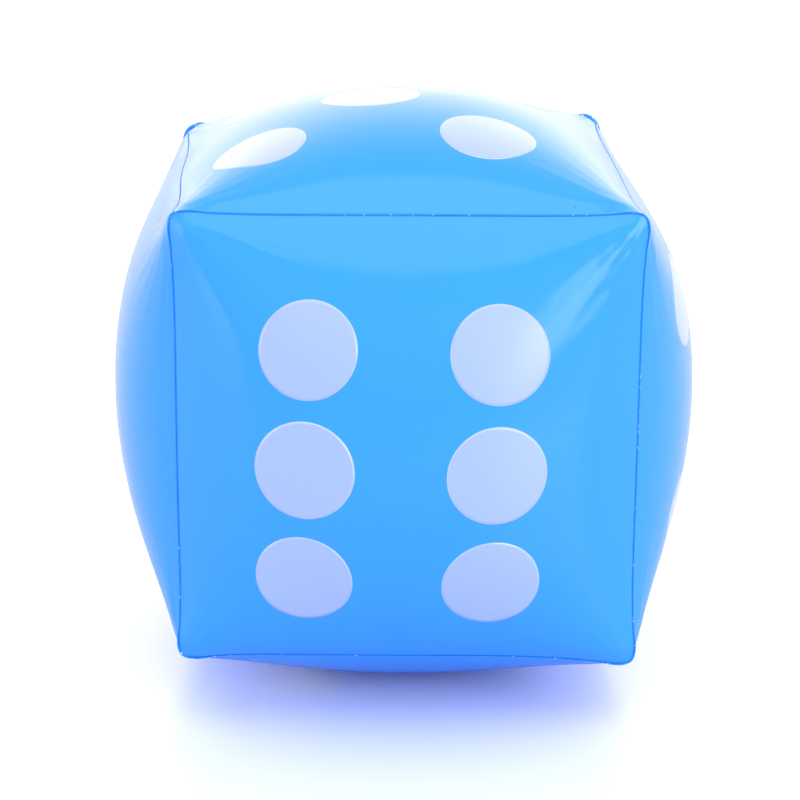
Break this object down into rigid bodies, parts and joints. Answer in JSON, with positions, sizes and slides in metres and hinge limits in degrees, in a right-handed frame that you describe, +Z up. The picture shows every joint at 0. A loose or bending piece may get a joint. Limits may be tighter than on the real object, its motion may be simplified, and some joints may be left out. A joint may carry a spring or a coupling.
{
  "type": "inflatable yard die",
  "caption": "Large air-filled vinyl cube with bulging faces, finned welded edges, round printed spots and a push-in air valve at the back.",
  "frame": {"origin": "on the floor, under the middle of the die: the middle of the patch where the bottom panel is pressed flat", "axes": "+Z up; -Y out of the six-spot face (front); +X out of the four-spot face (right); the five-spot face is up and the valve is on the back face (+Y)"},
  "size_m": [0.5015, 0.5015, 0.4974],
  "materials": {
    "blue_vinyl": "glossy inflated PVC sheet, sky blue, slightly see-through at the welds",
    "white_ink": "screen-printed white ink, satin, with a faint mesh texture",
    "valve_vinyl": "soft moulded PVC, light blue, glossy"
  },
  "bodies": {
    "die": {"front_panel": "blue_vinyl", "back_panel": "blue_vinyl", "left_panel": "blue_vinyl", "right_panel": "blue_vinyl", "top_panel": "blue_vinyl", "bottom_panel": "blue_vinyl", "front_spot_1": "white_ink", "front_spot_2": "white_ink", "front_spot_3": "white_ink", "front_spot_4": "white_ink", "front_spot_5": "white_ink", "front_spot_6": "white_ink", "back_spot_1": "white_ink", "back_spot_2": "white_ink", "back_spot_3": "white_ink", "left_spot_1": "white_ink", "right_spot_1": "white_ink", "right_spot_2": "white_ink", "right_spot_3": "white_ink", "right_spot_4": "white_ink", "top_spot_1": "white_ink", "top_spot_2": "white_ink", "top_spot_3": "white_ink", "top_spot_4": "white_ink", "top_spot_5": "white_ink", "bottom_spot_1": "white_ink", "bottom_spot_2": "white_ink", "valve_flange": "valve_vinyl", "valve_skirt": "valve_vinyl"},
    "valve_stem": {"valve_stem": "valve_vinyl"},
    "valve_cap": {"valve_cap": "valve_vinyl", "cap_strap": "valve_vinyl"},
    "valve_flap": {"check_flap": "valve_vinyl"}
  },
  "joints": [
    {"name": "stem_slide", "type": "slide", "parent": "die", "child": "valve_stem", "axis": [0, 0.9646, -0.2637], "range_m": [0, 0.012], "deforming": ["valve_skirt"]},
    {"name": "cap_hinge", "type": "hinge", "parent": "valve_stem", "child": "valve_cap", "pos_m": [0, 0.23945, 0.17299], "axis": [1, 0, 0], "range_deg": [0, 100], "deforming": ["cap_strap"]},
    {"name": "flap_hinge", "type": "hinge", "parent": "valve_stem", "child": "valve_flap", "pos_m": [0, 0.22516, 0.17378], "axis": [-1, 0, 0], "range_deg": [0, 45], "stiffness_Nm_per_rad": 0.0001}
  ]
}
